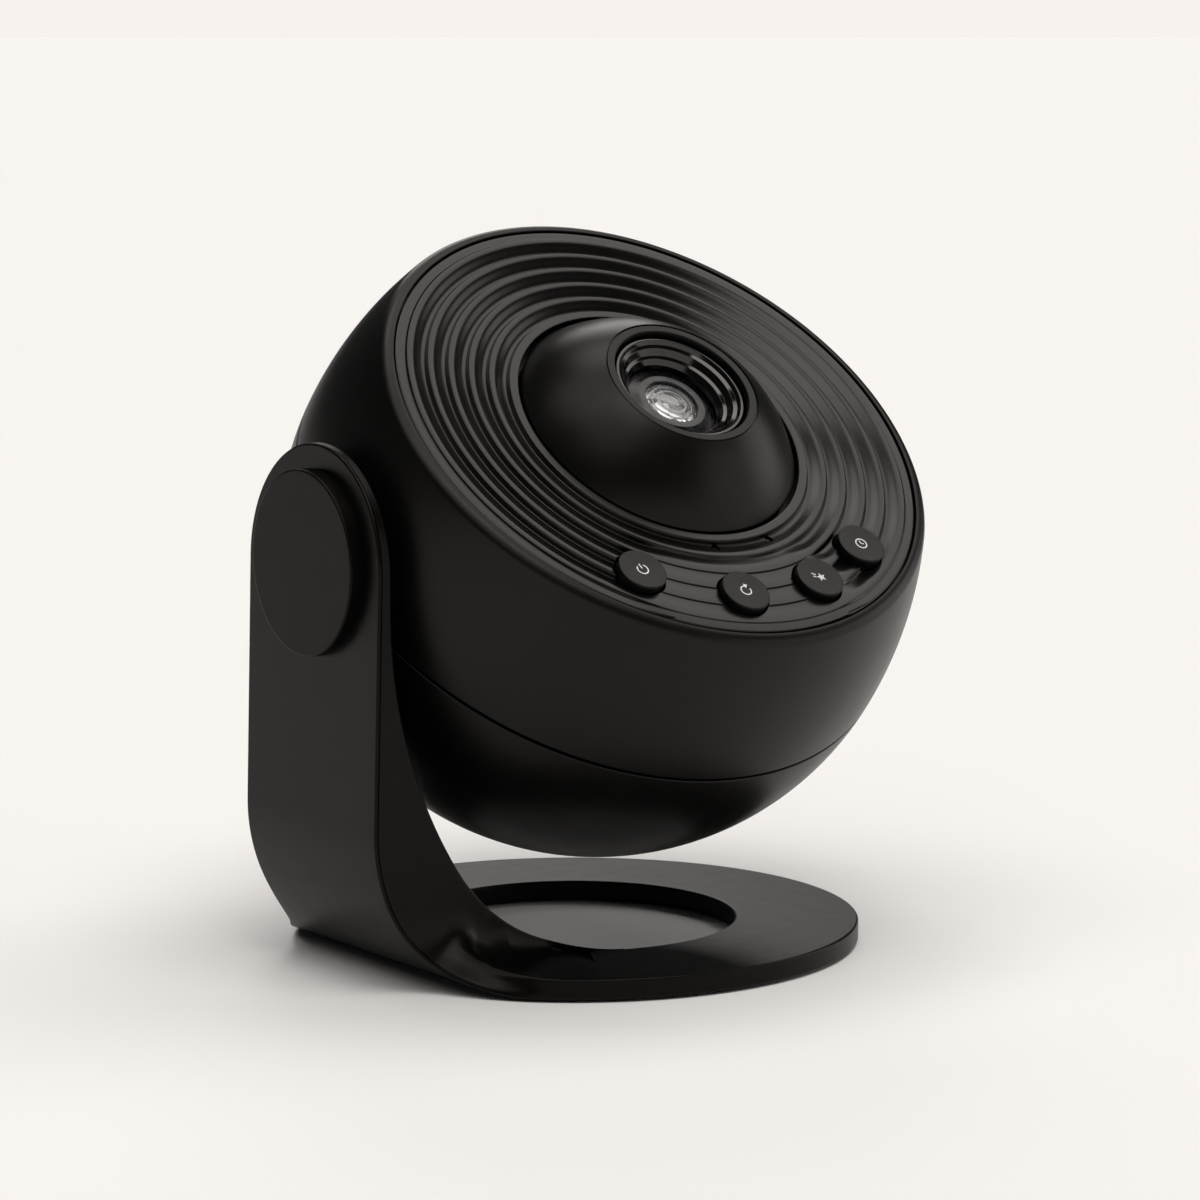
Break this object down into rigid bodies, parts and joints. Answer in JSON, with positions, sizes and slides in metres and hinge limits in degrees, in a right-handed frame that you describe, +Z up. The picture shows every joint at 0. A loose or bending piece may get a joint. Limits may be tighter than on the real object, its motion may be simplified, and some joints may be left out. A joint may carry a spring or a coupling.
{
  "type": "planetarium projector",
  "caption": "Ball-shaped star projector with a domed focus ring and push buttons, tilting on a one-armed bracket with a ring foot.",
  "frame": {"origin": "bottom centre of the bounding box, on the table", "axes": "+Z up; -Y is the front, which the waved face looks towards; the arm is at -X and the tilt axis runs along X"},
  "size_m": [0.1453, 0.1395, 0.1551],
  "materials": {
    "base_pad": "matte",
    "board_screws": "turned",
    "case_screws": "turned",
    "condenser_lens": "clear",
    "control_board": "board",
    "disc_gear": "natural",
    "disc_motor": "can",
    "face_panel": "satin black",
    "focus_dome": "satin black",
    "friction_bush": "natural",
    "front_housing": "satin black",
    "front_lens": "clear",
    "heat_sink": "extruded",
    "indicator_lights": "clear",
    "lamp_frame": "moulded",
    "led_board": "board with emitter",
    "lens_barrel": "moulded",
    "lens_bezel": "satin",
    "lens_guide": "moulded",
    "lens_hood": "gloss black",
    "main_board": "board",
    "meteor_button": "satin black",
    "motor_pinion": "natural",
    "pivot_cap": "satin black",
    "pivot_nut": "turned",
    "pivot_shaft": "turned",
    "power_button": "satin black",
    "rear_housing": "satin black",
    "rear_lens": "clear",
    "rotate_button": "satin black",
    "stand_bracket": "satin black",
    "star_disc": "printed film",
    "tact_switches": "moulded",
    "thrust_washer": "natural",
    "timer_button": "satin black",
    "usb_inlet": "can",
    "vent_grille": "satin black",
    "wave_washer": "turned"
  },
  "bodies": {
    "stand": {"stand_bracket": "stand_bracket", "base_pad": "base_pad", "pivot_shaft": "pivot_shaft", "pivot_cap": "pivot_cap", "thrust_washer": "thrust_washer", "wave_washer": "wave_washer", "pivot_nut": "pivot_nut"},
    "head": {"front_housing": "front_housing", "rear_housing": "rear_housing", "vent_grille": "vent_grille", "case_screws": "case_screws", "face_panel": "face_panel", "friction_bush": "friction_bush", "control_board": "control_board", "tact_switches": "tact_switches", "board_screws": "board_screws", "indicator_lights": "indicator_lights", "lens_guide": "lens_guide", "lamp_frame": "lamp_frame", "condenser_lens": "condenser_lens", "led_board": "led_board", "heat_sink": "heat_sink", "disc_motor": "disc_motor", "main_board": "main_board", "usb_inlet": "usb_inlet"},
    "focus_ring": {"focus_dome": "focus_dome"},
    "lens": {"lens_barrel": "lens_barrel", "lens_hood": "lens_hood", "lens_bezel": "lens_bezel", "front_lens": "front_lens", "rear_lens": "rear_lens"},
    "disc": {"disc_gear": "disc_gear", "star_disc": "star_disc"},
    "pinion": {"motor_pinion": "motor_pinion"},
    "power_button": {"power_button": "power_button"},
    "rotate_button": {"rotate_button": "rotate_button"},
    "meteor_button": {"meteor_button": "meteor_button"},
    "timer_button": {"timer_button": "timer_button"}
  },
  "joints": [
    {"name": "head_tilt", "type": "hinge", "parent": "stand", "child": "head", "pos_m": [0.00325, 0, 0.0884], "axis": [1, 0, 0], "range_deg": [-130.6, 49.4]},
    {"name": "focus_turn", "type": "hinge", "parent": "head", "child": "focus_ring", "pos_m": [0.00325, 0, 0.0884], "axis": [0, -0.6508, 0.7593], "range_deg": [-60, 60]},
    {"name": "lens_slide", "type": "slide", "parent": "head", "child": "lens", "axis": [0, -0.6508, 0.7593], "range_m": [-0.00122, 0.00122]},
    {"name": "disc_spin", "type": "hinge", "parent": "head", "child": "disc", "pos_m": [0.00325, 0, 0.0884], "axis": [0, -0.6508, 0.7593], "continuous": true},
    {"name": "pinion_spin", "type": "hinge", "parent": "head", "child": "pinion", "pos_m": [0.00325, 0.02187, 0.10714], "axis": [0, -0.6508, 0.7593], "continuous": true},
    {"name": "power_press", "type": "slide", "parent": "head", "child": "power_button", "axis": [0, 0.6508, -0.7593], "range_m": [0, 0.0008], "stiffness_N_per_m": 400, "springref_m": -0.0005},
    {"name": "rotate_press", "type": "slide", "parent": "head", "child": "rotate_button", "axis": [0, 0.6508, -0.7593], "range_m": [0, 0.0008], "stiffness_N_per_m": 400, "springref_m": -0.0005},
    {"name": "meteor_press", "type": "slide", "parent": "head", "child": "meteor_button", "axis": [0, 0.6508, -0.7593], "range_m": [0, 0.0008], "stiffness_N_per_m": 400, "springref_m": -0.0005},
    {"name": "timer_press", "type": "slide", "parent": "head", "child": "timer_button", "axis": [0, 0.6508, -0.7593], "range_m": [0, 0.0008], "stiffness_N_per_m": 400, "springref_m": -0.0005}
  ],
  "couplings": [
    {"joint": "lens_slide", "follows": "focus_turn", "m_per_rad": 0.0011459},
    {"joint": "pinion_spin", "follows": "disc_spin", "ratio": -5}
  ]
}
